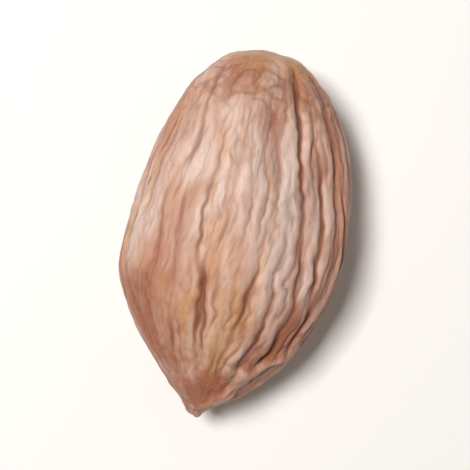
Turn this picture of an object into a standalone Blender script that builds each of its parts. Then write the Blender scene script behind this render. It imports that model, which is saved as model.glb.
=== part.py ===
"""A shelled peanut: the seed in its papery skin, which grew as one piece.

The seed lies along X with its beak towards +X. Y is across it, Z is up, and it rests on a small flat
spot at Z = 0, under the middle of its box. Its skin is one surface. A place on it is given by two
angles: along, from 0 at the blunt tip to pi at the beak's tip, and around, from 0 at +Y through the
top. The smooth seed comes first, and the ridges, the furrows and the scar are raised from it.
"""

import math
import random

import bmesh
import bpy
import numpy as np
from mathutils import Vector

# The seed's main sizes, in metres, each from the straight line between its two tips
LENGTH = 0.0191
RIGHT_WIDTH = 0.0060
LEFT_WIDTH = 0.0050
TOP_HEIGHT = 0.0049
BOTTOM_HEIGHT = 0.0047
BEAK_DROP = 0.0008
BEAK_RADIUS = 0.00080
BEAK_LENGTH = 0.0017
BODY_SHARE = 0.985

# The resting spot: how much is cut off under the seed, and the smooth patch round it, by its middle and
# its half sizes along X and Y
REST_CUT = 0.000086
REST_MIDDLE = (-0.0002, 0.0005)
REST_SIZE = (0.0032, 0.0018)

# The four side profiles: where each is widest, as a share of the length, and the two powers of its
# blunt end and of its beak end
RIGHT_PROFILE = (0.49, (2.05, 0.49), (2.05, 0.74))
LEFT_PROFILE = (0.64, (1.60, 0.48), (1.50, 0.80))
TOP_PROFILE = (0.44, (2.2, 0.48), (2.1, 0.66))
BOTTOM_PROFILE = (0.50, (2.1, 0.49), (2.1, 0.66))
SECTION_POWER = 2.15

# Soft flats, where the seed pressed on its neighbour and on its pod: the way each faces, how far out
# it lies from the middle, and how softly it meets the rest
FLATS = (
    (Vector((-0.01, 0.02, -1.00)), 0.00466, 0.00012),
    (Vector((-0.97, -0.10, 0.20)), 0.00905, 0.00035),
    (Vector((0.62, -0.74, 0.25)), 0.00610, 0.00040),
    (Vector((-0.25, 0.55, 0.80)), 0.00510, 0.00045),
)

# Ridges of the skin: how high they stand, how many start at the tips, how many fork and where, how soft
# their grooves are, how far they stray, and the angle of the flank where they are strongest
RIDGE_HEIGHT = 0.00022
RIDGES_AT_ENDS = 14
FORKS = 18
FORK_SPAN = (-0.86, 0.02)
MERGE_SPAN = (0.10, 0.86)
FORK_CORE = 0.035
GROOVE_SOFTNESS = 0.26
RIDGE_WANDER = 0.11
SEED = 11
FLANK_MIDDLE = math.radians(-22.0)

# Furrows, one along the top near the beak and one inside the left edge: the two ends of each, as a share
# of the length and an angle round the seed, its depth and its half width
FURROWS = (
    ((0.55, math.radians(103.0)), (0.85, math.radians(93.0)), 0.00020, 0.00038),
    ((0.10, math.radians(149.0)), (0.66, math.radians(157.0)), 0.00013, 0.00034),
)
FURROW_RADIUS = 0.0050

# The scar where the seed hung in its pod: a pale oblong beside the beak, with a raised rim. Its ends
# are given as a share of the length and an angle round the seed. The corner is how much further its
# side towards the seed's top reaches at the middle
SCAR_FAR_END = (0.785, math.radians(18.0))
SCAR_NEAR_END = (0.955, math.radians(36.0))
SCAR_CORNER = 0.8
SCAR_WIDTH = 0.0017
SCAR_RIM = 0.00022
SCAR_DEPTH = 0.00014

# Facets of the surface
FACETS_AROUND = 160
FACETS_ALONG = 37

# The skin's finish
SKIN_COLOUR = (0.56, 0.33, 0.24, 1.0)
SKIN_ROUGHNESS = 0.55


def clear_scene():
    """Remove every object, so that the model starts from nothing."""
    for thing in list(bpy.data.objects):
        bpy.data.objects.remove(thing, do_unlink=True)


def side_profile(share, profile):
    """The seed's reach to one side at a share of its length, as a part of that side's full reach.

    Each end is (1 - u to one power) to another power, where u goes from 0 at the widest place to 1
    at the tip.
    """
    widest, blunt_end, beak_end = profile
    to_blunt = np.clip((widest - share) / widest, 0.0, 1.0)
    to_beak = np.clip((share - widest) / (1.0 - widest), 0.0, 1.0)
    blunt = (1.0 - to_blunt ** blunt_end[0]) ** blunt_end[1]
    beak = (1.0 - to_beak ** beak_end[0]) ** beak_end[1]
    return np.where(share < widest, blunt, beak)


def press_flats(points):
    """Push what lies beyond each flat's plane back onto it, softly, as a logarithm of how far it lies."""
    for way, reach, softness in FLATS:
        way = np.array(way.normalized())
        beyond = (points @ way - reach) / softness
        points = points - softness * np.logaddexp(0.0, beyond)[..., None] * way
    return points


def smooth_seed(along, around):
    """Points of the seed without its relief, from its four side profiles and a rounded section."""
    share = (1.0 - np.cos(along)) / 2.0
    body_share = np.minimum(share / BODY_SHARE, 1.0)
    right = RIGHT_WIDTH * side_profile(body_share, RIGHT_PROFILE)
    left = LEFT_WIDTH * side_profile(body_share, LEFT_PROFILE)
    top = TOP_HEIGHT * side_profile(body_share, TOP_PROFILE)
    bottom = BOTTOM_HEIGHT * side_profile(body_share, BOTTOM_PROFILE)
    into_beak = np.clip(1.0 - (1.0 - share) * LENGTH / BEAK_LENGTH, 0.0, 1.0)
    beak = BEAK_RADIUS * np.sqrt(1.0 - into_beak ** 2) * (share > 0.5)
    half_width = (((right + left) / 2.0) ** 3 + beak ** 3) ** (1.0 / 3.0)
    half_height = (((top + bottom) / 2.0) ** 3 + beak ** 3) ** (1.0 / 3.0)
    roundness = np.abs(np.cos(around)) ** SECTION_POWER + np.abs(np.sin(around)) ** SECTION_POWER
    reach = roundness ** (-1.0 / SECTION_POWER)
    x = (share - 0.5) * LENGTH
    y = (right - left) / 2.0 + half_width * reach * np.cos(around)
    z = (top - bottom) / 2.0 - BEAK_DROP * share ** 4 + half_height * reach * np.sin(around)
    return press_flats(np.stack([x, y, z], axis=-1))


def outward(along, around):
    """Unit normals of the smooth seed, from small steps along it and around it."""
    step = 0.002
    safe = np.clip(along, 3.0 * step, math.pi - 3.0 * step)
    along_step = smooth_seed(safe + step, around) - smooth_seed(safe - step, around)
    around_step = smooth_seed(safe, around + step) - smooth_seed(safe, around - step)
    normals = np.cross(around_step, along_step)
    return normals / np.linalg.norm(normals, axis=-1, keepdims=True)


def fork_places(rng, count, span):
    """Places of forks, spread evenly round the seed with a small seeded shift, at mixed stations."""
    places = []
    for index in range(count):
        around = 2.0 * math.pi * (index + rng.uniform(-0.3, 0.3)) / count
        station = span[0] + (span[1] - span[0]) * ((index * 0.618) % 1.0)
        places.append((around, station * math.pi / 2.0))
    return places


def one_turn(offset):
    """Direction of half the offset's complex sine, a full turn round its zero, fading to nothing there."""
    turn = np.sin(offset / 2.0)
    return turn / np.sqrt(np.abs(turn) ** 2 + FORK_CORE ** 2)


def ridge_wave(along, around):
    """The ridges as one wave round the seed, +1 in each groove and -1 on each crest.

    The wave turns once for each ridge. Each fork turns it by the direction of a complex sine centred
    there, so that one ridge more runs on past it, and each merge turns it back by another.
    """
    rng = random.Random(SEED)
    station = -np.cos(along) * math.pi / 2.0
    place = around + 1j * station
    wander = np.zeros_like(around)
    for turns in (1, 2, 3, 5, 7):
        for waves in (1.7, 3.9, 6.3):
            size = rng.uniform(0.5, 1.0) / (turns + waves) ** 0.5
            shift = rng.uniform(0.0, 2.0 * math.pi)
            wander = wander + size * np.sin(turns * around + waves * station + shift)
    wave = np.exp(1j * (RIDGES_AT_ENDS * around + 2.0 * math.pi * RIDGE_WANDER * wander))
    for fork_around, fork_station in fork_places(rng, FORKS, FORK_SPAN):
        wave = wave * np.conj(one_turn(place - fork_around - 1j * fork_station))
    for merge_around, merge_station in fork_places(rng, FORKS, MERGE_SPAN):
        wave = wave * one_turn(place - merge_around - 1j * merge_station)
    return wave.real


def flank_share(around):
    """1 on the flank with the scar and under it, where the ridges are strong, and 0 on the other side."""
    side = np.clip((0.5 + 0.5 * np.cos(around - FLANK_MIDDLE) - 0.30) / 0.45, 0.0, 1.0)
    return side ** 2 * (3.0 - 2.0 * side)


def ridge_strength(points, along, around):
    """How strongly the ridges stand at each place: less at the two tips and none on the resting spot."""
    share = (1.0 - np.cos(along)) / 2.0
    ends = np.clip(share / 0.10, 0.0, 1.0) ** 0.7 * np.clip((0.975 - share) / 0.12, 0.0, 1.0)
    patches = 0.62 + 0.40 * flank_share(around)
    patches = patches + 0.10 * np.sin(3.0 * around - 4.1 * np.cos(along) + 2.1)
    spot_x = (points[..., 0] - REST_MIDDLE[0]) / REST_SIZE[0]
    spot_y = (points[..., 1] - REST_MIDDLE[1]) / REST_SIZE[1]
    spot = np.exp(-(spot_x ** 4) - spot_y ** 4) * (points[..., 2] < 0.0)
    return ends * patches * (1.0 - spot)


def furrow_depth(along, around):
    """Depth of the furrows: a bell curve across each one, which rises and falls smoothly along it."""
    share = (1.0 - np.cos(along)) / 2.0
    turn = np.mod(around, 2.0 * math.pi)
    depth = np.zeros_like(share)
    for start, end, deepest, half_width in FURROWS:
        part = (share - start[0]) / (end[0] - start[0])
        across = (turn - start[1] - (end[1] - start[1]) * part) * FURROW_RADIUS / half_width
        depth = depth + deepest * np.exp(-across ** 2 - (2.0 * part - 1.0) ** 6 * 3.0)
    return depth


def scar_axes():
    """The scar's middle and half-length vector on the smooth seed, and unit vectors across and out of it."""
    shares = np.array([SCAR_FAR_END[0], SCAR_NEAR_END[0], (SCAR_FAR_END[0] + SCAR_NEAR_END[0]) / 2.0])
    angles = np.array([SCAR_FAR_END[1], SCAR_NEAR_END[1], (SCAR_FAR_END[1] + SCAR_NEAR_END[1]) / 2.0])
    stations = np.arccos(1.0 - 2.0 * shares)
    far_end, near_end, middle = smooth_seed(stations, angles)
    out = outward(stations, angles)[2]
    half = (near_end - far_end) / 2.0
    across = np.cross(out, half)
    return middle, half, across / np.linalg.norm(across), out


def scar_field(points):
    """Distance from the scar's middle, 0 there and 1 on its rim, in an oblong lying on the skin.

    The oblong has a corner in its side towards the seed's top, which is an exponential peak there.
    """
    middle, half, across, out = scar_axes()
    offset = points - middle
    share_along = offset @ half / (half @ half)
    share_across = offset @ across / (SCAR_WIDTH / 2.0)
    peak = SCAR_CORNER * np.exp(-np.sqrt(share_along ** 2 + 0.01) / 0.45)
    share_across = np.where(share_across < 0.0, share_across / (1.0 + peak), share_across)
    share_out = offset @ out / SCAR_WIDTH * 0.6
    return np.sqrt(share_along ** 2 + share_across ** 2 + share_out ** 2)


def skin_relief(points, along, around):
    """Height of the skin over the smooth seed: ridges, furrows and the scar with its rim."""
    crest = np.sqrt((1.0 - ridge_wave(along, around)) / 2.0 + GROOVE_SOFTNESS ** 2)
    crest = crest / math.sqrt(1.0 + GROOVE_SOFTNESS ** 2) - 0.75
    height = RIDGE_HEIGHT * crest * ridge_strength(points, along, around) - furrow_depth(along, around)
    scar = scar_field(points)
    plain = 1.0 / (1.0 + np.exp(-9.0 * (scar - 1.1)))
    rim = SCAR_RIM * np.exp(-((scar - 0.95) / 0.24) ** 2)
    hollow = SCAR_DEPTH * np.exp(-(scar / 0.65) ** 4)
    return height * plain + rim - hollow


def box_floor_middle(points):
    """The middle of the box round the points, at the height where the resting spot is cut."""
    middle = (points.min(axis=0) + points.max(axis=0)) / 2.0
    middle[2] = points[:, 2].min() + REST_CUT
    return middle


def make_kernel():
    """Carry a sphere's facets onto the skin, then cut and close the flat resting spot."""
    mesh_maker = bmesh.new()
    bmesh.ops.create_uvsphere(mesh_maker, u_segments=FACETS_AROUND, v_segments=FACETS_ALONG, radius=1.0)
    sphere = np.array([corner.co for corner in mesh_maker.verts])
    along = np.arccos(np.clip(sphere[:, 2], -1.0, 1.0))
    around = np.arctan2(sphere[:, 1], sphere[:, 0])
    points = smooth_seed(along, around)
    relief = skin_relief(points, along, around)
    points = points + relief[:, None] * outward(along, around)
    points = points - box_floor_middle(points)
    for corner, place in zip(mesh_maker.verts, points):
        corner.co = place
    rest = bmesh.ops.bisect_plane(
        mesh_maker,
        geom=mesh_maker.verts[:] + mesh_maker.edges[:] + mesh_maker.faces[:],
        dist=1e-8,
        plane_co=(0.0, 0.0, 0.0),
        plane_no=(0.0, 0.0, -1.0),
        clear_outer=True,
    )
    rim = [part for part in rest["geom_cut"] if isinstance(part, bmesh.types.BMEdge)]
    bmesh.ops.contextual_create(mesh_maker, geom=rim)
    bmesh.ops.recalc_face_normals(mesh_maker, faces=mesh_maker.faces[:])
    mesh = bpy.data.meshes.new("kernel")
    mesh_maker.to_mesh(mesh)
    mesh_maker.free()
    mesh.shade_smooth()
    kernel = bpy.data.objects.new("kernel", mesh)
    bpy.context.scene.collection.objects.link(kernel)
    return kernel


def skin_material():
    """Papery skin: pinkish tan and satin."""
    material = bpy.data.materials.new("skin")
    material.use_nodes = True
    shader = material.node_tree.nodes["Principled BSDF"]
    shader.inputs["Base Color"].default_value = SKIN_COLOUR
    shader.inputs["Roughness"].default_value = SKIN_ROUGHNESS
    shader.inputs["Metallic"].default_value = 0.0
    material.diffuse_color = SKIN_COLOUR
    return material


def main():
    """Build the seed and give it its skin's finish."""
    clear_scene()
    kernel = make_kernel()
    kernel.data.materials.append(skin_material())


main()
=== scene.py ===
"""A shelled peanut in its papery skin, lying on a pale table and seen from above.

The seed lies along X with its beak towards +X. Y is across it and Z is up. A place on its skin is given
by two angles: along, from 0 at the blunt tip to pi at the beak's tip, and around, from 0 at +Y through
the top. Every surface is worked out as whole arrays of such places.
"""

import math
import random
from typing import NamedTuple

import bpy
import numpy as np
from bpy.props import FloatProperty, FloatVectorProperty, PointerProperty
from mathutils import Matrix, Vector


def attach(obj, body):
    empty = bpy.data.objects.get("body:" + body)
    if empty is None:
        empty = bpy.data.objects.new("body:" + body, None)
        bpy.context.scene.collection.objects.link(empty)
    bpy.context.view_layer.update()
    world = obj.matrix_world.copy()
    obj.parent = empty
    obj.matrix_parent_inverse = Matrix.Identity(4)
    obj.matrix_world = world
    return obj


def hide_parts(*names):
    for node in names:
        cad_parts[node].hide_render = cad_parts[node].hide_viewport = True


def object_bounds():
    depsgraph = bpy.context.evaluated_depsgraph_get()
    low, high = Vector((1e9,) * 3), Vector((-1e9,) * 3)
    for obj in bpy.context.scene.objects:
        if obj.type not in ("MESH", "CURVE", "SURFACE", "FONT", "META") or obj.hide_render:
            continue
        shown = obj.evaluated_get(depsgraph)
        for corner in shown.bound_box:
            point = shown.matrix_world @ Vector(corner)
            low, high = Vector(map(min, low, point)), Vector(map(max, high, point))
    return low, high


bl_info = {
    "name": "Peanut kernel",
    "version": (1, 0, 0),
    "blender": (4, 5, 0),
    "location": "3D View > Sidebar > Peanut",
    "description": "Makes a shelled peanut in its ridged skin, and a table to look at it on",
    "category": "Add Mesh",
}

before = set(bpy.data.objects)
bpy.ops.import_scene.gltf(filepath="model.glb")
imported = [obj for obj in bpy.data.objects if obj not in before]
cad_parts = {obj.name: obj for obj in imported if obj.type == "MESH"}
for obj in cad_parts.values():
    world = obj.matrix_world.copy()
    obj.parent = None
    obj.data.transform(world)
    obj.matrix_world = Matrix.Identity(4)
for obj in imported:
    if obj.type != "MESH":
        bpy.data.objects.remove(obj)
CAD_LOW, CAD_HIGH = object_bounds()
SEED_MIDDLE = (CAD_LOW + CAD_HIGH) / 2.0

# Form of the smooth seed, as in the solid: shares of the length, powers, and sizes in metres
RIGHT_PROFILE = (0.49, (2.05, 0.49), (2.05, 0.74))
LEFT_PROFILE = (0.64, (1.60, 0.48), (1.50, 0.80))
TOP_PROFILE = (0.44, (2.2, 0.48), (2.1, 0.66))
BOTTOM_PROFILE = (0.50, (2.1, 0.49), (2.1, 0.66))
SECTION_POWER = 2.15
BODY_SHARE = 0.985
BEAK_LENGTH = 0.0017
FLATS = (
    (Vector((-0.01, 0.02, -1.00)), 0.00466, 0.00012),
    (Vector((-0.97, -0.10, 0.20)), 0.00905, 0.00035),
    (Vector((0.62, -0.74, 0.25)), 0.00610, 0.00040),
    (Vector((-0.25, 0.55, 0.80)), 0.00510, 0.00045),
)
REST_MIDDLE = (-0.0002, 0.0005)
REST_SIZE = (0.0032, 0.0018)


class Noise(NamedTuple):
    """A smooth noise: its wavelength in metres, its seed, how much longer it is along X, and its height."""

    wavelength: float
    seed: int
    stretch: float = 1.0
    size: float = 1.0


class Ridges(NamedTuple):
    """A set of ridges: how many run at the tips, how many fork off, and the seed of their places.

    Wander is how far they stray, core how softly a fork begins, and softness how round a groove is.
    """

    at_tips: int
    forks: int
    seed: int
    wander: float
    core: float
    softness: float


class Strength(NamedTuple):
    """How strongly a set of ridges stands, as shares of its height: everywhere, and more in some regions.

    The shoulder is the seed's part behind the beak: its middle and its reach as shares of the length.
    """

    everywhere: float
    flank: float
    beside_scar: float
    underside: float
    on_shoulder: float
    shoulder: tuple


class Places(NamedTuple):
    """Where the points of the skin are, each as a whole array.

    They are the two angles, the share of the length, the smooth seed's points, the angle round it as
    the kinks bend it, and the flow, a place in metres whose X runs with the ridges.
    """

    along: np.ndarray
    around: np.ndarray
    share: np.ndarray
    points: np.ndarray
    kinked: np.ndarray
    flow: np.ndarray


class Lamp(NamedTuple):
    """A square lamp: where it shines from in the picture, how far off it is, its side and its colour."""

    right: float
    up: float
    high: float
    distance: float
    size: float
    colour: tuple


# The main ridges, which are the solid's too, the finer ones between them, and the wrinkles on both
MAIN_RIDGES = Ridges(at_tips=14, forks=18, seed=11, wander=0.11, core=0.035, softness=0.15)
FINE_RIDGES = Ridges(at_tips=26, forks=22, seed=7, wander=0.18, core=0.03, softness=0.12)
WRINKLES = Ridges(at_tips=50, forks=60, seed=5, wander=0.45, core=0.03, softness=0.20)
FORK_SPAN = (-0.86, 0.02)
MERGE_SPAN = (0.10, 0.86)

# The flank with the scar, the turn from its middle to the scar, and what each region adds to the ridges
FLANK_MIDDLE = math.radians(-22.0)
SCAR_TURN = 0.6
MAIN_STRENGTH = Strength(0.40, 0.60, 0.22, 0.15, 0.30, shoulder=(0.74, 0.15))
FINE_STRENGTH = Strength(0.62, 0.50, 0.55, 0.14, 0.0, shoulder=(0.76, 0.14))
MAIN_WAVINESS = 0.10
WRINKLE_STRENGTH = 0.65

# Noises that bend the ridges sideways, as angles, and that make them come and go, as shares
KINKS = (Noise(0.0022, 21, size=0.020), Noise(0.0008, 22, size=0.008))
ZIGZAG = (Noise(0.0013, 23, stretch=1.3, size=0.016), Noise(0.0007, 24, size=0.010))
FLANK_EDGE = Noise(0.0050, 31, size=0.25)
MAIN_UNEVENNESS = Noise(0.0017, 33, stretch=4.0, size=0.50)
FINE_UNEVENNESS = Noise(0.0020, 36, stretch=1.6, size=0.35)
WRINKLE_UNEVENNESS = Noise(0.0035, 32, stretch=1.5, size=0.6)

# Broad relief under the ridges, in metres, and the ledge at the blunt end where they begin: its place
# as a share of the length, how that strays, how steep the ledge is and how high
DENTS = Noise(0.0042, 44, stretch=2.0, size=0.00005)
SWELL = Noise(0.0019, 45, stretch=4.5)
SWELL_HEIGHT = 0.00005
LEDGE_SHARE = 0.108
LEDGE_STRAY = Noise(0.0022, 46, size=0.014)
LEDGE_STEEPNESS = 0.008
LEDGE_HEIGHT = 0.00005

# Puffed pillows along the ridges, and rounder cells: in rings near the tips, each with its middle and
# reach as shares of the length and its strength, on the shoulder and round the scar
PUCKERS = Noise(0.0013, 37, stretch=3.6)
SMALL_PUCKERS = Noise(0.0007, 38, stretch=2.4)
SMALL_PUCKER_SHARE = 0.6
CELLS = Noise(0.0014, 35, stretch=0.65)
CELL_RINGS = ((0.12, 0.05, 2.6), (0.88, 0.06, 0.8))
SHOULDER_CELLS = (0.74, 0.12, 0.3)
SCAR_CELLS = (1.5, 0.35, 1.4)

# Creases between the pillows and between the cells: how wide they are and how strong their mark is
PILLOW_CREASE_WIDTH = 0.3
PILLOW_CREASE_MARK = 0.35
CELL_CREASE_WIDTH = 0.15
CELL_CREASE_MARK = 0.7

# What is taken off crests and pillows, so that they stand about as much above the skin as below it
MEAN_LEVEL = 0.75

# Furrows: the two ends of each as a share of the length and an angle, its depth and its half width
FURROWS = (
    ((0.54, math.radians(103.0)), (0.86, math.radians(92.0)), 0.00019, 0.00022),
    ((0.10, math.radians(149.0)), (0.66, math.radians(157.0)), 0.00018, 0.00022),
)
# Depth at which the painted shade in the furrows is full
FURROW_MARK_DEPTH = 0.00020

# The seed's mean radius, which turns an angle round it into a distance
MEAN_RADIUS = 0.0050

# The scar beside the beak: its ends, its corner, the fraying of its edge, its rim and its slit
SCAR_FAR_END = (0.785, math.radians(18.0))
SCAR_NEAR_END = (0.955, math.radians(36.0))
SCAR_CORNER = 0.8
SCAR_FRAYING = (Noise(0.0022, 40, size=0.10), Noise(0.0007, 41, size=0.07))
SCAR_FIBRES = Noise(0.0005, 42, stretch=2.5, size=0.00002)
RIM_PLACE = (0.97, 0.24)
RIM_UNEVENNESS = Noise(0.0018, 43, size=0.45)
SLIT_DEPTH = 0.00006

# Steps of the grid that the skin is worked out on
STEPS_AROUND = 452
STEPS_ALONG = 216

# Soft patches of colour: the place as a share of the length and an angle in degrees, how far each
# reaches in both, and how strong it is
# Pale patches: on the top they are a painted highlight, and underneath they are the skin's pale bloom
BLOOM_AND_HIGHLIGHT_PATCHES = (
    ((0.43, 68), (0.23, 34), 1.30),
    ((0.34, 112), (0.22, 36), 0.85),
    ((0.46, 140), (0.20, 30), 0.80),
    ((0.55, 250), (0.25, 40), 0.9),
    ((0.35, 330), (0.20, 35), 0.9),
)
OCHRE_PATCHES = (
    ((0.76, 88), (0.13, 22), 1.45),
    ((0.58, 97), (0.16, 9), 0.60),
    ((0.27, 104), (0.12, 12), 0.40),
    ((0.02, 90), (0.08, 150), 1.0),
    ((0.62, 205), (0.18, 14), 0.9),
    ((0.40, 290), (0.20, 12), 0.9),
)
# Redder patches: partly the skin's own tone, partly painted shade on the lower flank away from the key lamp
# and near the beak
RUDDY_AND_SHADE_PATCHES = (
    ((0.84, 140), (0.20, 46), 0.80),
    ((0.90, 62), (0.07, 40), 1.0),
    ((0.76, 42), (0.14, 26), 1.50),
    ((0.66, 8), (0.26, 26), 1.15),
    ((0.30, 200), (0.20, 30), 0.7),
    ((0.85, 260), (0.14, 70), 0.8),
    ((0.10, 60), (0.02, 150), 0.4),
)

# The skin's bump, which is finer than the mesh: how deep its creases and its grain are
CREASE_DEPTH = 0.00006
GRAIN_DEPTH = 0.00002

# The way up, the lamps, and the light from all round
STRAIGHT_UP = Vector((0.0, 0.0, 1.0))
KEY_LAMP = Lamp(right=-0.27, up=0.16, high=1.0, distance=0.16, size=0.04, colour=(1.0, 0.975, 0.94))
FILL_LAMP = Lamp(right=0.6, up=0.4, high=0.7, distance=0.20, size=0.16, colour=(1.0, 0.96, 0.92))
FILL_POWER = 0.02
ROOM_COLOUR = (1.0, 0.91, 0.82, 1.0)

# The gap between the table and the seed, the camera's sensor in millimetres, and how near and far it
# sees in metres
TABLE_GAP = 0.00001
SENSOR_WIDTH = 36.0
NEAREST = 0.001
FARTHEST = 10.0


class PeanutKernelSettings(bpy.types.PropertyGroup):
    """Sizes and colours of the seed."""

    length: FloatProperty(
        name="Length",
        description="From the blunt tip to the beak's tip",
        default=0.0191,
        unit="LENGTH",
        precision=5,
    )
    right_width: FloatProperty(
        name="Right width",
        description="From the line between the tips to the side with the scar",
        default=0.0060,
        unit="LENGTH",
        precision=5,
    )
    left_width: FloatProperty(
        name="Left width",
        description="From the line between the tips to the side with the corner",
        default=0.0050,
        unit="LENGTH",
        precision=5,
    )
    top_height: FloatProperty(
        name="Top height",
        description="From the line between the tips to the top",
        default=0.0049,
        unit="LENGTH",
        precision=5,
    )
    bottom_height: FloatProperty(
        name="Bottom height",
        description="From the line between the tips to the underside",
        default=0.0047,
        unit="LENGTH",
        precision=5,
    )
    beak_drop: FloatProperty(
        name="Beak drop",
        description="How far the beak bends down",
        default=0.0008,
        unit="LENGTH",
        precision=5,
    )
    beak_radius: FloatProperty(
        name="Beak radius",
        description="Half the thickness of the beak's tip",
        default=0.0008,
        unit="LENGTH",
        precision=5,
    )
    ridge_height: FloatProperty(
        name="Ridge height",
        description="From the bottom of a groove to the crest of a ridge",
        default=0.00018,
        unit="LENGTH",
        precision=5,
    )
    fine_ridge_height: FloatProperty(
        name="Fine ridge height",
        description="Height of the finer ridges between the main ones",
        default=0.000100,
        unit="LENGTH",
        precision=6,
    )
    wrinkle_height: FloatProperty(
        name="Wrinkle height",
        description="Height of the wrinkles between the ridges",
        default=0.000020,
        unit="LENGTH",
        precision=6,
    )
    pucker_height: FloatProperty(
        name="Pucker height",
        description="Height of the small puffed pillows between the creases",
        default=0.000024,
        unit="LENGTH",
        precision=6,
    )
    scar_width: FloatProperty(
        name="Scar width",
        description="Width of the scar beside the beak",
        default=0.0017,
        unit="LENGTH",
        precision=5,
    )
    scar_rim: FloatProperty(
        name="Scar rim",
        description="How far the scar's rim stands up",
        default=0.00022,
        unit="LENGTH",
        precision=5,
    )
    scar_depth: FloatProperty(
        name="Scar depth",
        description="How far the scar's middle sinks in",
        default=0.00010,
        unit="LENGTH",
        precision=5,
    )
    skin: FloatVectorProperty(
        name="Skin",
        description="The skin's pinkish tan",
        subtype="COLOR",
        default=(0.545, 0.300, 0.210),
        min=0.0,
        max=1.0,
    )
    # A pale tone: the skin's bloom, also laid as a painted highlight on the top and on the crests
    bloom_and_highlight: FloatVectorProperty(
        name="Bloom",
        description="The pale bloom on the crests",
        subtype="COLOR",
        default=(0.710, 0.560, 0.497),
        min=0.0,
        max=1.0,
    )
    # The veins' redder brown, also laid as painted shade in the grooves, wrinkles, creases, furrows and
    # slit
    groove: FloatVectorProperty(
        name="Groove",
        description="The redder brown in the grooves",
        subtype="COLOR",
        default=(0.200, 0.062, 0.032),
        min=0.0,
        max=1.0,
    )
    ochre: FloatVectorProperty(
        name="Ochre",
        description="The yellower patches",
        subtype="COLOR",
        default=(0.570, 0.300, 0.132),
        min=0.0,
        max=1.0,
    )
    # A redder brown: the skin's own, also laid as painted shade on the lower flank and towards the beak
    ruddy_and_shade: FloatVectorProperty(
        name="Ruddy",
        description="The redder brown of the flanks and the beak",
        subtype="COLOR",
        default=(0.370, 0.125, 0.065),
        min=0.0,
        max=1.0,
    )
    scar: FloatVectorProperty(
        name="Scar",
        description="The papery scar",
        subtype="COLOR",
        default=(0.490, 0.240, 0.140),
        min=0.0,
        max=1.0,
    )


class PeanutStageSettings(bpy.types.PropertyGroup):
    """The table, the light and the camera."""

    table: FloatVectorProperty(
        name="Table",
        description="Colour of the table",
        subtype="COLOR",
        default=(0.88, 0.875, 0.87),
        min=0.0,
        max=1.0,
    )
    table_size: FloatProperty(
        name="Table size",
        description="Side of the table",
        default=1.2,
        unit="LENGTH",
    )
    turn: FloatProperty(
        name="Turn",
        description="How far the seed leans from upright in the picture",
        default=math.radians(10.5),
        subtype="ANGLE",
        unit="ROTATION",
    )
    lens: FloatProperty(
        name="Lens",
        description="The camera's focal length, in millimetres",
        default=100.0,
    )
    frame_share: FloatProperty(
        name="Frame share",
        description="Part of the picture's height that the seed takes",
        default=0.86,
        subtype="FACTOR",
        min=0.1,
        max=1.0,
    )
    key_power: FloatProperty(
        name="Key light",
        description="Power of the main light, in watts",
        default=0.274,
    )
    fill: FloatProperty(
        name="Fill light",
        description="Brightness of the light from all round",
        default=0.16,
    )


def side_profile(share, profile):
    """The seed's reach to one side at a share of its length, as a part of that side's full reach.

    Each end is (1 - u to one power) to another power, where u goes from 0 at the widest place to 1
    at the tip.
    """
    widest, blunt_end, beak_end = profile
    to_blunt = np.clip((widest - share) / widest, 0.0, 1.0)
    to_beak = np.clip((share - widest) / (1.0 - widest), 0.0, 1.0)
    blunt = (1.0 - to_blunt ** blunt_end[0]) ** blunt_end[1]
    beak = (1.0 - to_beak ** beak_end[0]) ** beak_end[1]
    return np.where(share < widest, blunt, beak)


def press_flats(points):
    """Push what lies beyond each flat's plane back onto it, softly, as a logarithm of how far it lies."""
    for way, reach, softness in FLATS:
        way = np.array(way.normalized())
        beyond = (points @ way - reach) / softness
        points = points - softness * np.logaddexp(0.0, beyond)[..., None] * way
    return points


def smooth_seed(sizes, along, around):
    """Points of the seed without its relief, from its four side profiles and a rounded section."""
    share = (1.0 - np.cos(along)) / 2.0
    body_share = np.minimum(share / BODY_SHARE, 1.0)
    right = sizes.right_width * side_profile(body_share, RIGHT_PROFILE)
    left = sizes.left_width * side_profile(body_share, LEFT_PROFILE)
    top = sizes.top_height * side_profile(body_share, TOP_PROFILE)
    bottom = sizes.bottom_height * side_profile(body_share, BOTTOM_PROFILE)
    into_beak = np.clip(1.0 - (1.0 - share) * sizes.length / BEAK_LENGTH, 0.0, 1.0)
    beak = sizes.beak_radius * np.sqrt(1.0 - into_beak ** 2) * (share > 0.5)
    half_width = (((right + left) / 2.0) ** 3 + beak ** 3) ** (1.0 / 3.0)
    half_height = (((top + bottom) / 2.0) ** 3 + beak ** 3) ** (1.0 / 3.0)
    roundness = np.abs(np.cos(around)) ** SECTION_POWER + np.abs(np.sin(around)) ** SECTION_POWER
    reach = roundness ** (-1.0 / SECTION_POWER)
    x = (share - 0.5) * sizes.length
    y = (right - left) / 2.0 + half_width * reach * np.cos(around)
    z = (top - bottom) / 2.0 - sizes.beak_drop * share ** 4 + half_height * reach * np.sin(around)
    return press_flats(np.stack([x, y, z], axis=-1))


def outward(sizes, along, around):
    """Unit normals of the smooth seed, from small steps along it and around it."""
    step = 0.002
    safe = np.clip(along, 3.0 * step, math.pi - 3.0 * step)
    along_step = smooth_seed(sizes, safe + step, around) - smooth_seed(sizes, safe - step, around)
    around_step = smooth_seed(sizes, safe, around + step) - smooth_seed(sizes, safe, around - step)
    normals = np.cross(around_step, along_step)
    return normals / np.linalg.norm(normals, axis=-1, keepdims=True)


def rise(value, start, full):
    """0 up to where a value starts to count, 1 from where it counts in full, and a line between."""
    return np.clip((value - start) / (full - start), 0.0, 1.0)


def bell(value, middle, reach):
    """A bell curve: 1 in its middle and 1/e at its reach on both sides."""
    return np.exp(-((value - middle) / reach) ** 2)


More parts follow.
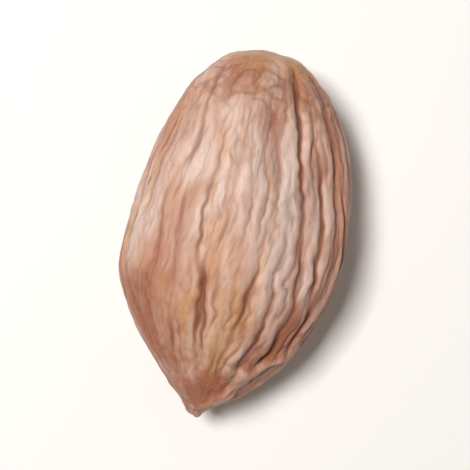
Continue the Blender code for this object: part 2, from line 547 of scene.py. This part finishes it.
def crumple(points, noise, waves=28):
    """The noise at the points, about -1 to 1 times its size: sine waves in seeded random directions.

    Each wave's length is near the noise's own, and its stretch makes the noise longer along X.
    """
    rng = np.random.default_rng(noise.seed)
    ways = rng.normal(size=(waves, 3))
    ways = ways / np.linalg.norm(ways, axis=1, keepdims=True)
    ways = ways * rng.uniform(0.7, 1.4, size=(waves, 1)) * 2.0 * math.pi / noise.wavelength
    ways[:, 0] = ways[:, 0] / noise.stretch
    shifts = rng.uniform(0.0, 2.0 * math.pi, size=waves)
    heights = np.sin(points @ ways.T + shifts).sum(axis=-1) * math.sqrt(2.0 / waves) / 1.5
    return noise.size * heights


def fork_places(rng, count, span):
    """Places of forks, spread evenly round the seed with a small seeded shift, at mixed stations."""
    places = []
    for index in range(count):
        around = 2.0 * math.pi * (index + rng.uniform(-0.3, 0.3)) / count
        station = span[0] + (span[1] - span[0]) * ((index * 0.618) % 1.0)
        places.append((around, station * math.pi / 2.0))
    return places


def one_turn(offset, core):
    """Direction of half the offset's complex sine, a full turn round its zero, fading to nothing there."""
    turn = np.sin(offset / 2.0)
    return turn / np.sqrt(np.abs(turn) ** 2 + core ** 2)


def wander(rng, around, station):
    """How far the ridges stray from straight: a sum of seeded sine waves over the seed's two angles."""
    sway = np.zeros_like(around)
    for turns in (1, 2, 3, 5, 7):
        for waves in (1.7, 3.9, 6.3):
            size = rng.uniform(0.5, 1.0) / (turns + waves) ** 0.5
            shift = rng.uniform(0.0, 2.0 * math.pi)
            sway = sway + size * np.sin(turns * around + waves * station + shift)
    return sway


def ridge_wave(along, around, ridges):
    """Ridges as a wave round the seed, which is +1 in a groove and -1 on a crest.

    It is the real part of a complex wave that turns once for each ridge. Each fork turns it by the
    direction of a complex sine centred there, so that one ridge more runs on past it, and each merge
    turns it back by another.
    """
    rng = random.Random(ridges.seed)
    station = -np.cos(along) * math.pi / 2.0
    place = around + 1j * station
    sway = 2.0 * math.pi * ridges.wander * wander(rng, around, station)
    wave = np.exp(1j * (ridges.at_tips * around + sway))
    for fork_around, fork_station in fork_places(rng, ridges.forks, FORK_SPAN):
        wave = wave * np.conj(one_turn(place - fork_around - 1j * fork_station, ridges.core))
    for merge_around, merge_station in fork_places(rng, ridges.forks, MERGE_SPAN):
        wave = wave * one_turn(place - merge_around - 1j * merge_station, ridges.core)
    return wave.real


def crest_height(wave, softness):
    """Height of ridges with round crests and narrow grooves: the root of the wave's distance below +1."""
    crest = np.sqrt((1.0 - wave) / 2.0 + softness ** 2)
    return crest / math.sqrt(1.0 + softness ** 2) - MEAN_LEVEL


def nearness(wave, sharpness):
    """How near a wave is to +1: half of one plus the wave, to a power. It is 1 there and 0 at -1."""
    return np.clip(0.5 + 0.5 * wave, 0.0, 1.0) ** sharpness


def flank_share(around):
    """1 on the flank with the scar and under it, where the ridges are strong, and 0 on the other side."""
    side = rise(0.5 + 0.5 * np.cos(around - FLANK_MIDDLE), 0.40, 0.80)
    return side ** 2 * (3.0 - 2.0 * side)


def regional_strength(strength, share, around, edge=0.0):
    """How strongly a set of ridges stands in each region. Edge shifts the border of the scar's flank."""
    shoulder = bell(share, *strength.shoulder)
    off_flank = 1.0 - flank_share(around)
    total = strength.everywhere + strength.flank * flank_share(around + edge)
    total = total + strength.beside_scar * shoulder * flank_share(around - SCAR_TURN)
    total = total + strength.underside * (1.0 - np.sin(around)) * off_flank
    return total + strength.on_shoulder * shoulder * off_flank


def main_strength(places):
    """Strength of the main ridges: by region, wavy, less at the tips and none on the resting spot."""
    share = places.share
    strength = regional_strength(MAIN_STRENGTH, share, places.around)
    strength = strength + MAIN_WAVINESS * np.sin(3.0 * places.around - 4.1 * np.cos(places.along) + 2.1)
    ends = rise(share, 0.015, 0.125) ** 0.7 * rise(share, 0.975, 0.855)
    spot_x = (places.points[..., 0] - REST_MIDDLE[0]) / REST_SIZE[0]
    spot_y = (places.points[..., 1] - REST_MIDDLE[1]) / REST_SIZE[1]
    spot = np.exp(-(spot_x ** 4) - spot_y ** 4) * (places.points[..., 2] < 0.0)
    return ends * strength * (1.0 - spot)


def fine_strength(places):
    """Strength of the finer ridges: by region and uneven, and less towards the blunt tip."""
    edge = crumple(places.points, FLANK_EDGE)
    strength = regional_strength(FINE_STRENGTH, places.share, places.around, edge)
    strength = strength * (1.0 + crumple(places.points, FINE_UNEVENNESS))
    return np.clip(strength, 0.10, 1.5) * rise(places.share, 0.03, 0.15) ** 0.7


def ridge_relief(sizes, places):
    """Height of the three sets of ridges, and marks on their crests and grooves.

    Each set's height is its own size, times its strength, times the shape of a crest. All of them end
    before the beak's tip. A mark is how near a place is to a crest or a groove, times the strength.
    """
    share = places.share
    zigzag = sum(crumple(places.points, noise) for noise in ZIGZAG)
    main_wave = ridge_wave(places.along, places.kinked, MAIN_RIDGES)
    fine_wave = ridge_wave(places.along, places.kinked + zigzag, FINE_RIDGES)
    wrinkle_wave = ridge_wave(places.along, places.kinked - zigzag, WRINKLES)
    inside_tips = rise(share, 0.01, 0.07) * rise(share, 0.97, 0.87)
    main = main_strength(places) * np.clip(1.0 + crumple(places.flow, MAIN_UNEVENNESS), 0.15, 2.0)
    fine = fine_strength(places) * inside_tips
    wrinkle = np.clip(WRINKLE_STRENGTH + crumple(places.points, WRINKLE_UNEVENNESS), 0.15, 1.2)
    wrinkle = wrinkle * inside_tips
    height = sizes.ridge_height * main * crest_height(main_wave, MAIN_RIDGES.softness)
    height = height + sizes.fine_ridge_height * fine * crest_height(fine_wave, FINE_RIDGES.softness)
    height = height + sizes.wrinkle_height * wrinkle * crest_height(wrinkle_wave, WRINKLES.softness)
    # Marks for the colour: a painted highlight on the crests, and painted shade with the veins' brown in
    # the grooves and wrinkles
    marks = {
        "crest": nearness(-main_wave, 2) * np.clip(main, 0.0, 1.3),
        "groove": nearness(main_wave, 6) * np.clip(main, 0.0, 1.3),
        "vein": nearness(fine_wave, 8) * fine,
        "wrinkle": nearness(wrinkle_wave, 2) * wrinkle,
    }
    return height * rise(share, 0.985, 0.905), marks


def pillows(points, noise):
    """Puffed pillows with creases between them, about -0.6 to 1: the rounded size of a smooth noise."""
    return np.sqrt(crumple(points, noise) ** 2 + 0.02) - MEAN_LEVEL


def crease(pillow, width):
    """How near a place is to a crease between pillows: a bell curve round their lowest height."""
    return bell(pillow, -0.6, width)


def pucker_relief(sizes, places, scar):
    """Height of the pillows and cells, and a mark on the creases between them.

    Pillows lie along the ridges everywhere. Cells stand in rings near the tips, on the shoulder and
    round the scar.
    """
    pucker = pillows(places.points, PUCKERS)
    small_pucker = pillows(places.points, SMALL_PUCKERS)
    cell = pillows(places.points, CELLS)
    cells = sum(most * bell(places.share, middle, reach) for middle, reach, most in CELL_RINGS)
    middle, reach, most = SHOULDER_CELLS
    cells = cells + most * bell(places.share, middle, reach) * (1.0 - flank_share(places.around))
    middle, reach, most = SCAR_CELLS
    cells = cells + most * bell(scar, middle, reach)
    height = sizes.pucker_height * (pucker + SMALL_PUCKER_SHARE * small_pucker + cells * cell)
    # The creases' mark, by which the colour lays painted shade in them
    creases = crease(pucker, PILLOW_CREASE_WIDTH) + crease(small_pucker, PILLOW_CREASE_WIDTH)
    creases = PILLOW_CREASE_MARK * creases
    return height, creases + CELL_CREASE_MARK * cells * crease(cell, CELL_CREASE_WIDTH)


def furrow_depth(share, around):
    """Depth of the furrows: a bell curve across each one, which rises and falls smoothly along it."""
    turn = np.mod(around, 2.0 * math.pi)
    depth = np.zeros_like(share)
    for start, end, deepest, half_width in FURROWS:
        part = (share - start[0]) / (end[0] - start[0])
        across = (turn - start[1] - (end[1] - start[1]) * part) * MEAN_RADIUS / half_width
        depth = depth + deepest * np.exp(-across ** 2 - (2.0 * part - 1.0) ** 6 * 3.0)
    return depth


def scar_field(sizes, points):
    """Distance from the scar's middle, 0 there and 1 on its rim, and how near the slit along it is.

    The scar is an oblong lying on the skin, with a corner in the side towards the seed's top. The slit
    is a bell curve across it that fades towards its ends.
    """
    ends = np.array([SCAR_FAR_END, SCAR_NEAR_END])
    shares, angles = np.concatenate([ends, [ends.mean(axis=0)]]).T
    stations = np.arccos(1.0 - 2.0 * shares)
    far_end, near_end, middle = smooth_seed(sizes, stations, angles)
    out = outward(sizes, stations, angles)[2]
    half = (near_end - far_end) / 2.0
    across = np.cross(out, half)
    across = across / np.linalg.norm(across)
    offset = points - middle
    share_along = offset @ half / (half @ half)
    share_across = offset @ across / (sizes.scar_width / 2.0)
    peak = SCAR_CORNER * np.exp(-np.sqrt(share_along ** 2 + 0.01) / 0.45)
    share_across = np.where(share_across < 0.0, share_across / (1.0 + peak), share_across)
    share_out = offset @ out / sizes.scar_width * 0.6
    distance = np.sqrt(share_along ** 2 + share_across ** 2 + share_out ** 2)
    slit = np.exp(-((share_across + 0.1) / 0.14) ** 2 - (share_along / 0.6) ** 4 - share_out ** 2)
    return distance, slit


def scar_relief(sizes, points, scar, slit):
    """Height of the scar's rim, hollow, slit and fibres, and the distance from its middle, frayed."""
    frayed = scar + sum(crumple(points, noise) for noise in SCAR_FRAYING)
    rim_height = np.clip(0.75 + crumple(points, RIM_UNEVENNESS), 0.1, 1.4)
    rim = sizes.scar_rim * rim_height * bell(frayed, *RIM_PLACE)
    hollow = sizes.scar_depth * np.exp(-(scar / 0.65) ** 4) + SLIT_DEPTH * slit
    fibres = (1.0 - off_scar(scar)) * crumple(points, SCAR_FIBRES)
    return rim - hollow + fibres, frayed


def off_scar(scar):
    """0 on the scar and 1 away from it, with a smooth step just outside its rim."""
    return 1.0 / (1.0 + np.exp(-9.0 * (scar - 1.1)))


def colour_patches(share, around, patches):
    """Soft patches of colour: a bell curve in the share of the length and in the angle round each place."""
    total = np.zeros_like(share)
    for place, reach, most in patches:
        turn = np.degrees(np.angle(np.exp(1j * (around - math.radians(place[1])))))
        total = np.maximum(total, most * bell(share, place[0], reach[0]) * bell(turn, 0.0, reach[1]))
    return total


def skin_places(sizes, along, around):
    """Where the points of the skin are, with the kinks that bend the ridges and the flow along them.

    The flow's X is the length along the seed. Its Y and Z are a ring that follows the bent angle and
    closes towards the tips.
    """
    points = smooth_seed(sizes, along, around)
    share = (1.0 - np.cos(along)) / 2.0
    kinked = around + sum(crumple(points, noise) for noise in KINKS)
    ring = MEAN_RADIUS * np.sin(along) ** 0.8
    flow = np.stack([along * sizes.length / 2.0, ring * np.cos(kinked), ring * np.sin(kinked)], axis=-1)
    return Places(along, around, share, points, kinked, flow)


def skin_surface(sizes, along, around):
    """The skin's points and the fields that its finish follows.

    A point is the smooth seed's, moved along its normal by the height of the ridges, the broad relief,
    the ledge and the puckers, less the furrows' depth. All of that ends at the scar, which has its own.
    """
    places = skin_places(sizes, along, around)
    points, share = places.points, places.share
    scar, slit = scar_field(sizes, points)
    swell = crumple(places.flow, SWELL)
    height, marks = ridge_relief(sizes, places)
    height = height + crumple(points, DENTS) + SWELL_HEIGHT * swell
    past_ledge = share - LEDGE_SHARE + crumple(points, LEDGE_STRAY)
    height = height + LEDGE_HEIGHT * np.tanh(past_ledge / LEDGE_STEEPNESS)
    puckers, marks["crease"] = pucker_relief(sizes, places, scar)
    furrows = furrow_depth(share, places.kinked)
    scar_height, frayed_scar = scar_relief(sizes, points, scar, slit)
    height = (height + puckers - furrows) * off_scar(scar) + scar_height
    # The swell's height, which the colour follows with painted highlight and painted shade
    marks["swell"] = swell
    fields = {name: mark * off_scar(scar) for name, mark in marks.items()}
    fields["flow"] = places.flow
    fields["share"] = share
    # The furrows' depth, by which the colour lays painted shade in them
    fields["furrow"] = furrows / FURROW_MARK_DEPTH
    fields["scar"] = frayed_scar
    fields["slit"] = slit
    # Patches of colour: pale ones, partly painted highlight; ochre ones; redder ones, partly painted shade
    fields["bloom_and_highlight"] = colour_patches(share, around, BLOOM_AND_HIGHLIGHT_PATCHES)
    fields["ochre"] = colour_patches(share, around, OCHRE_PATCHES)
    fields["ruddy_and_shade"] = colour_patches(share, around, RUDDY_AND_SHADE_PATCHES)
    return points + height[..., None] * outward(sizes, along, around), fields


def seat_on_box(points):
    """Move the seed to the solid's box, centred from above and level with its top, and flatten its foot."""
    low, high = points.min(axis=0), points.max(axis=0)
    middle = (np.array(CAD_LOW) + np.array(CAD_HIGH)) / 2.0
    shift = middle - (low + high) / 2.0
    shift[2] = CAD_HIGH[2] - high[2]
    points = points + shift
    points[:, 2] = np.maximum(points[:, 2], CAD_LOW[2])
    return points


def closed_grid(rows, columns):
    """Faces of a grid that closes round itself, with a single point at each end. Rows leave those out."""
    ring = np.arange(columns)
    after = (ring + 1) % columns
    start = 1 + np.arange(rows - 1)[:, None] * columns
    here, beside = start + ring, start + after
    quads = np.stack([here, beside, beside + columns, here + columns], axis=-1)
    last = 1 + (rows - 1) * columns
    first_cap = np.stack([np.zeros_like(ring), 1 + after, 1 + ring], axis=-1)
    last_cap = np.stack([np.full_like(ring, last + columns), last + ring, last + after], axis=-1)
    return quads.reshape(-1, 4), np.concatenate([first_cap, last_cap])


def kernel_mesh(sizes):
    """The seed's skin as one closed mesh, with a point attribute for each field of its finish."""
    inner_along = math.pi * np.arange(1, STEPS_ALONG) / STEPS_ALONG
    ring = 2.0 * math.pi * np.arange(STEPS_AROUND) / STEPS_AROUND
    along, around = np.meshgrid(inner_along, ring, indexing="ij")
    along = np.concatenate([[0.0], along.ravel(), [math.pi]])
    around = np.concatenate([[0.0], around.ravel(), [0.0]])
    points, fields = skin_surface(sizes, along, around)
    points = seat_on_box(points)
    quads, triangles = closed_grid(STEPS_ALONG - 1, STEPS_AROUND)
    corners = np.concatenate([quads.ravel(), triangles.ravel()])
    face_sizes = np.concatenate([np.full(len(quads), 4), np.full(len(triangles), 3)])
    face_starts = np.concatenate([[0], np.cumsum(face_sizes)[:-1]])
    mesh = bpy.data.meshes.new("peanut_kernel")
    mesh.vertices.add(len(points))
    mesh.vertices.foreach_set("co", points.astype(np.float32).ravel())
    mesh.loops.add(len(corners))
    mesh.loops.foreach_set("vertex_index", corners.astype(np.int32))
    mesh.polygons.add(len(face_sizes))
    mesh.polygons.foreach_set("loop_start", face_starts.astype(np.int32))
    mesh.update(calc_edges=True)
    mesh.validate()
    flow = mesh.attributes.new("flow", "FLOAT_VECTOR", "POINT")
    flow.data.foreach_set("vector", fields.pop("flow").astype(np.float32).ravel())
    for name, values in fields.items():
        attribute = mesh.attributes.new(name, "FLOAT", "POINT")
        attribute.data.foreach_set("value", values.astype(np.float32))
    mesh.shade_smooth()
    return mesh


class NodeTable:
    """Short ways to add and join the nodes of one material."""

    def __init__(self, material):
        material.use_nodes = True
        self.tree = material.node_tree
        self.nodes = material.node_tree.nodes
        self.shader = self.nodes["Principled BSDF"]

    def join(self, source, target):
        """Put a socket, a number or a colour into an input socket."""
        if isinstance(source, bpy.types.NodeSocket):
            self.tree.links.new(source, target)
        elif isinstance(source, (int, float)):
            target.default_value = source
        else:
            target.default_value = (*source[:3], 1.0)

    def field(self, name):
        """The value of one of the mesh's own attributes."""
        node = self.nodes.new("ShaderNodeAttribute")
        node.attribute_name = name
        return node.outputs["Fac"]

    def noise(self, size, detail=3.0, roughness=0.55, seed=0.0):
        """Noise with features of about one size in metres."""
        place = self.nodes.new("ShaderNodeTexCoord").outputs["Object"]
        return self.noise_at(place, size, 1.0, detail, roughness, seed)

    def streaks(self, size, stretch, detail=3.0, roughness=0.55, seed=0.0):
        """Noise that runs with the ridges: features of about one size in metres, and longer by a factor."""
        place = self.nodes.new("ShaderNodeAttribute")
        place.attribute_name = "flow"
        return self.noise_at(place.outputs["Vector"], size, stretch, detail, roughness, seed)

    def noise_at(self, place, size, stretch, detail, roughness, seed):
        """Noise in a space of metres, stretched along its X and moved by its seed."""
        mapping = self.nodes.new("ShaderNodeMapping")
        mapping.inputs["Scale"].default_value = (1.0 / (size * stretch), 1.0 / size, 1.0 / size)
        mapping.inputs["Location"].default_value = (seed, seed * 0.7, seed * 1.3)
        node = self.nodes.new("ShaderNodeTexNoise")
        node.inputs["Scale"].default_value = 1.0
        node.inputs["Detail"].default_value = detail
        node.inputs["Roughness"].default_value = roughness
        self.tree.links.new(place, mapping.inputs["Vector"])
        self.tree.links.new(mapping.outputs["Vector"], node.inputs["Vector"])
        return node.outputs["Fac"]

    def spread(self, value, low, high, to_low=0.0, to_high=1.0):
        """Carry a value from one range to another, smoothly and without going past its ends."""
        node = self.nodes.new("ShaderNodeMapRange")
        node.interpolation_type = "SMOOTHSTEP"
        self.join(value, node.inputs["Value"])
        node.inputs["From Min"].default_value = low
        node.inputs["From Max"].default_value = high
        node.inputs["To Min"].default_value = to_low
        node.inputs["To Max"].default_value = to_high
        return node.outputs["Result"]

    def combine(self, operation, first, second):
        """One step of arithmetic on two values."""
        node = self.nodes.new("ShaderNodeMath")
        node.operation = operation
        self.join(first, node.inputs[0])
        self.join(second, node.inputs[1])
        return node.outputs["Value"]

    def ragged(self, name, noise, most):
        """A field of the mesh with a noise added, which gives up to the most and takes away as much."""
        return self.combine("ADD", self.field(name), self.spread(noise, 0.3, 0.7, -most, most))

    def blend(self, share, first, second):
        """Mix two colours by a share."""
        node = self.nodes.new("ShaderNodeMix")
        node.data_type = "RGBA"
        self.join(share, node.inputs[0])
        self.join(first, node.inputs[6])
        self.join(second, node.inputs[7])
        return node.outputs[2]

    def tint(self, colour, layers):
        """Lay other colours over one, in turn.

        Each layer has its mask, the mask's values where it starts and where it is full, its share
        there, and its colour.
        """
        for mask, start, full, most, over in layers:
            colour = self.blend(self.spread(mask, start, full, 0.0, most), colour, over)
        return colour

    def bump(self, height, distance, under=None):
        """A bump whose height is given as a share of a distance in metres, on another bump or on none."""
        node = self.nodes.new("ShaderNodeBump")
        node.inputs["Distance"].default_value = distance
        node.inputs["Strength"].default_value = 1.0
        self.join(height, node.inputs["Height"])
        if under is not None:
            self.join(under, node.inputs["Normal"])
        return node.outputs["Normal"]


def scar_colour(table, colours, fibre, mottle):
    """Colour of the papery scar: redder fibres and a pale mottle on its own colour, and a slit darkened by
    painted shade.
    """
    layers = (
        (fibre, 0.38, 0.62, 0.55, colours.ruddy_and_shade),
        (mottle, 0.50, 0.72, 0.30, colours.bloom_and_highlight),
        (table.field("slit"), 0.15, 0.90, 0.70, colours.groove),
    )
    return table.tint(colours.scar, layers)


def skin_colour(table, colours):
    """Colour of the skin: pale bloom and painted highlight, redder grooves and painted shade, ochre
    patches, browner ends partly painted shade, pale scar.
    """
    broad = table.streaks(0.0024, 2.4, detail=2.0, seed=3.1)
    tinge = table.streaks(0.0010, 3.2, detail=3.0, roughness=0.5, seed=15.5)
    streak = table.streaks(0.00045, 7.0, detail=4.0, roughness=0.6, seed=7.7)
    fibre = table.streaks(0.00016, 8.0, detail=3.0, roughness=0.6, seed=11.3)
    mottle = table.noise(0.0009, detail=4.0, roughness=0.6, seed=1.9)
    groove = table.field("groove")
    swell = table.field("swell")
    # Mask of the pale patches: partly the skin's bloom, partly painted highlight
    bloom_and_highlight = table.ragged("bloom_and_highlight", broad, 0.25)
    ochre = table.ragged("ochre", streak, 0.40)
    # Mask of the redder patches: partly the skin's tone, partly painted shade
    ruddy_and_shade = table.ragged("ruddy_and_shade", broad, -0.35)
    share = table.ragged("share", streak, 0.035)
    scar = table.ragged("scar", streak, 0.10)
    # A pale pink for the painted highlight on the crests and for the beak's paler tip
    rosy = table.blend(0.45, colours.bloom_and_highlight, colours.skin)

    # Pale bloom and painted highlight, kept out of the grooves
    off_grooves = table.spread(groove, 0.6, 0.0, 0.3, 1.0)
    bloom_and_highlight = table.combine("MULTIPLY", table.spread(bloom_and_highlight, 0.10, 0.90), off_grooves)
    colour = table.blend(bloom_and_highlight, colours.skin, colours.bloom_and_highlight)
    broad_layers = (
        (tinge, 0.50, 0.70, 0.48, colours.ochre),
        (tinge, 0.46, 0.28, 0.28, colours.ruddy_and_shade),
        (ochre, 0.15, 1.10, 0.75, colours.ochre),
        (ruddy_and_shade, 0.00, 1.15, 0.90, colours.ruddy_and_shade),
        # Painted highlight on the raised bands of the swell, painted shade in the sunk ones
        (swell, 0.05, 1.00, 0.40, colours.bloom_and_highlight),
        (swell, -0.05, -1.00, 0.38, colours.ruddy_and_shade),
    )
    colour = table.tint(colour, broad_layers)

    # Painted highlight: the crests of the main ridges paler, less so where the skin is redder
    crest = table.spread(table.field("crest"), 0.35, 1.0, 0.0, 0.38)
    crest = table.combine("MULTIPLY", crest, table.spread(ruddy_and_shade, 0.30, 1.40, 1.0, 0.45))
    colour = table.blend(crest, colour, rosy)
    fine_layers = (
        (streak, 0.52, 0.74, 0.36, colours.ruddy_and_shade),
        (streak, 0.46, 0.26, 0.36, colours.bloom_and_highlight),
        (fibre, 0.54, 0.76, 0.20, colours.groove),
        (fibre, 0.46, 0.26, 0.16, colours.bloom_and_highlight),
        (mottle, 0.55, 0.80, 0.30, colours.ochre),
        (ochre, 0.35, 1.40, 0.35, colours.ochre),
        (ruddy_and_shade, 0.30, 1.50, 0.45, colours.ruddy_and_shade),
        # Painted shade in the wrinkles, fine grooves and creases, on the veins' redder brown
        (table.field("wrinkle"), 0.30, 1.10, 0.22, colours.groove),
        (table.field("vein"), 0.08, 0.90, 0.52, colours.groove),
        (table.field("crease"), 0.10, 1.10, 0.40, colours.groove),
    )
    colour = table.tint(colour, fine_layers)

    # Painted shade: the main grooves darkened towards the redder brown, more in broad patches
    depth = table.spread(broad, 0.30, 0.62, 0.45, 0.95)
    depth = table.combine("MULTIPLY", table.spread(groove, 0.08, 0.80), depth)
    colour = table.blend(depth, colour, colours.groove)
    last_layers = (
        # Painted shade in the furrows
        (table.field("furrow"), 0.45, 1.00, 0.85, colours.groove),
        # Redder towards the beak: its browner end, partly painted shade
        (share, 0.82, 0.96, 0.75, colours.ruddy_and_shade),
        (share, 0.955, 0.995, 0.50, rosy),
    )
    colour = table.tint(colour, last_layers)

    colour = table.blend(table.spread(scar, 1.14, 0.86), colour, scar_colour(table, colours, fibre, mottle))
    rim = table.combine("MULTIPLY", table.spread(scar, 0.64, 0.92), table.spread(scar, 1.28, 1.02))
    rim = table.combine("MULTIPLY", rim, table.spread(mottle, 0.36, 0.56, 0.40, 0.95))
    return table.blend(rim, colour, table.blend(0.85, colours.bloom_and_highlight, colours.skin))


def skin_material(colours):
    """Papery, satin skin: its colour, its roughness and a bump finer than the mesh."""
    material = bpy.data.materials.new("peanut_skin")
    table = NodeTable(material)
    shader = table.shader
    table.join(skin_colour(table, colours), shader.inputs["Base Color"])
    grain = table.streaks(0.00014, 3.0, detail=4.0, roughness=0.65, seed=2.4)
    creases = table.streaks(0.00040, 4.0, detail=3.0, roughness=0.6, seed=9.2)
    gloss = table.noise(0.0012, detail=3.0, seed=4.4)
    table.join(table.spread(gloss, 0.30, 0.70, 0.40, 0.58), shader.inputs["Roughness"])
    creased = table.bump(creases, CREASE_DEPTH)
    table.join(table.bump(grain, GRAIN_DEPTH, creased), shader.inputs["Normal"])
    shader.inputs["IOR"].default_value = 1.45
    shader.inputs["Specular IOR Level"].default_value = 0.25
    shader.inputs["Sheen Weight"].default_value = 0.03
    shader.inputs["Sheen Roughness"].default_value = 0.5
    shader.inputs["Subsurface Weight"].default_value = 0.04
    shader.inputs["Subsurface Scale"].default_value = 0.0003
    return material


def table_material(colours):
    """Plain, pale, matt table with a trace of unevenness."""
    material = bpy.data.materials.new("table")
    table = NodeTable(material)
    shade = table.noise(0.08, detail=2.0)
    paler = tuple(min(1.0, part * 1.02) for part in colours.table)
    table.join(table.blend(shade, colours.table, paler), table.shader.inputs["Base Color"])
    table.shader.inputs["Roughness"].default_value = 0.7
    table.shader.inputs["Specular IOR Level"].default_value = 0.2
    return material


def add_object(name, data):
    """Put new data into the scene as an object at the origin."""
    thing = bpy.data.objects.new(name, data)
    bpy.context.scene.collection.objects.link(thing)
    return thing


def picture_axes(turn):
    """The picture's right and up as directions on the table: the beak points down and a little left."""
    down = Vector((math.cos(turn), math.sin(turn), 0.0))
    right = Vector((-math.sin(turn), math.cos(turn), 0.0))
    return right, -down


def add_area_light(name, lamp, power, turn):
    """A square lamp that shines on the middle of the seed from its direction in the picture."""
    right, up = picture_axes(turn)
    way = STRAIGHT_UP * lamp.high + right * lamp.right + up * lamp.up
    light = bpy.data.lights.new(name, "AREA")
    light.shape = "SQUARE"
    light.size = lamp.size
    light.energy = power
    light.color = lamp.colour
    holder = add_object(name, light)
    holder.location = SEED_MIDDLE + way.normalized() * lamp.distance
    holder.rotation_euler = way.to_track_quat("Z", "Y").to_euler()


def add_table(settings):
    """The square table that the seed lies on, just under its foot."""
    half = settings.table_size / 2.0
    level = CAD_LOW.z - TABLE_GAP
    corners = [(-half, -half, level), (half, -half, level), (half, half, level), (-half, half, level)]
    mesh = bpy.data.meshes.new("table")
    mesh.from_pydata(corners, [], [(0, 1, 2, 3)])
    mesh.materials.append(table_material(settings))
    return add_object("table", mesh)


def make_room(settings):
    """The even light that comes from all round."""
    world = bpy.data.worlds.new("room")
    world.use_nodes = True
    sky = world.node_tree.nodes["Background"]
    sky.inputs["Color"].default_value = ROOM_COLOUR
    sky.inputs["Strength"].default_value = settings.fill
    return world


def add_camera(settings):
    """The camera straight above the seed, so far off that the seed fills its share of the picture."""
    lens = bpy.data.cameras.new("camera")
    lens.lens = settings.lens
    lens.sensor_width = SENSOR_WIDTH
    lens.clip_start = NEAREST
    lens.clip_end = FARTHEST
    camera = add_object("camera", lens)
    right, up = picture_axes(settings.turn)
    facing = Matrix((right, up, STRAIGHT_UP)).transposed()
    picture_height = (CAD_HIGH.x - CAD_LOW.x) / settings.frame_share
    lens_reach = picture_height * settings.lens / SENSOR_WIDTH
    place = SEED_MIDDLE + STRAIGHT_UP * (lens_reach + SEED_MIDDLE.z)
    camera.matrix_world = Matrix.Translation(place) @ facing.to_4x4()
    return camera


class MakePeanutKernel(bpy.types.Operator):
    """Make the seed with its ridged skin"""

    bl_idname = "peanut.make_kernel"
    bl_label = "Make kernel"

    def execute(self, context):
        settings = context.scene.peanut_kernel
        kernel = add_object("peanut_kernel", kernel_mesh(settings))
        kernel.data.materials.append(skin_material(settings))
        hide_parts("kernel")
        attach(kernel, "root")
        return {"FINISHED"}


class MakePeanutStage(bpy.types.Operator):
    """Make the table, the light and the camera"""

    bl_idname = "peanut.make_stage"
    bl_label = "Make stage"

    def execute(self, context):
        settings = context.scene.peanut_stage
        scene = context.scene
        table = add_table(settings)
        add_area_light("key_light", KEY_LAMP, settings.key_power, settings.turn)
        add_area_light("fill_light", FILL_LAMP, FILL_POWER, settings.turn)
        scene.world = make_room(settings)
        scene.view_settings.view_transform = "Standard"
        scene.camera = add_camera(settings)
        return {"FINISHED"}


class PeanutPanel(bpy.types.Panel):
    """The peanut's sizes, its colours and the buttons that make it"""

    bl_label = "Peanut"
    bl_idname = "VIEW3D_PT_peanut"
    bl_space_type = "VIEW_3D"
    bl_region_type = "UI"
    bl_category = "Peanut"

    def draw(self, context):
        for settings, operator in (
            (context.scene.peanut_kernel, MakePeanutKernel.bl_idname),
            (context.scene.peanut_stage, MakePeanutStage.bl_idname),
        ):
            column = self.layout.column()
            for name in settings.__annotations__:
                column.prop(settings, name)
            column.operator(operator)


CLASSES = (
    PeanutKernelSettings,
    PeanutStageSettings,
    MakePeanutKernel,
    MakePeanutStage,
    PeanutPanel,
)


def register():
    """Add the classes and the scene's two groups of settings."""
    for cls in CLASSES:
        bpy.utils.register_class(cls)
    bpy.types.Scene.peanut_kernel = PointerProperty(type=PeanutKernelSettings)
    bpy.types.Scene.peanut_stage = PointerProperty(type=PeanutStageSettings)


def unregister():
    """Take the settings and the classes away again."""
    del bpy.types.Scene.peanut_stage
    del bpy.types.Scene.peanut_kernel
    for cls in reversed(CLASSES):
        bpy.utils.unregister_class(cls)


def main():
    """Make everything."""
    register()
    bpy.ops.peanut.make_stage()
    bpy.ops.peanut.make_kernel()
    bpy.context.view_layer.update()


if __name__ == "__main__":
    main()
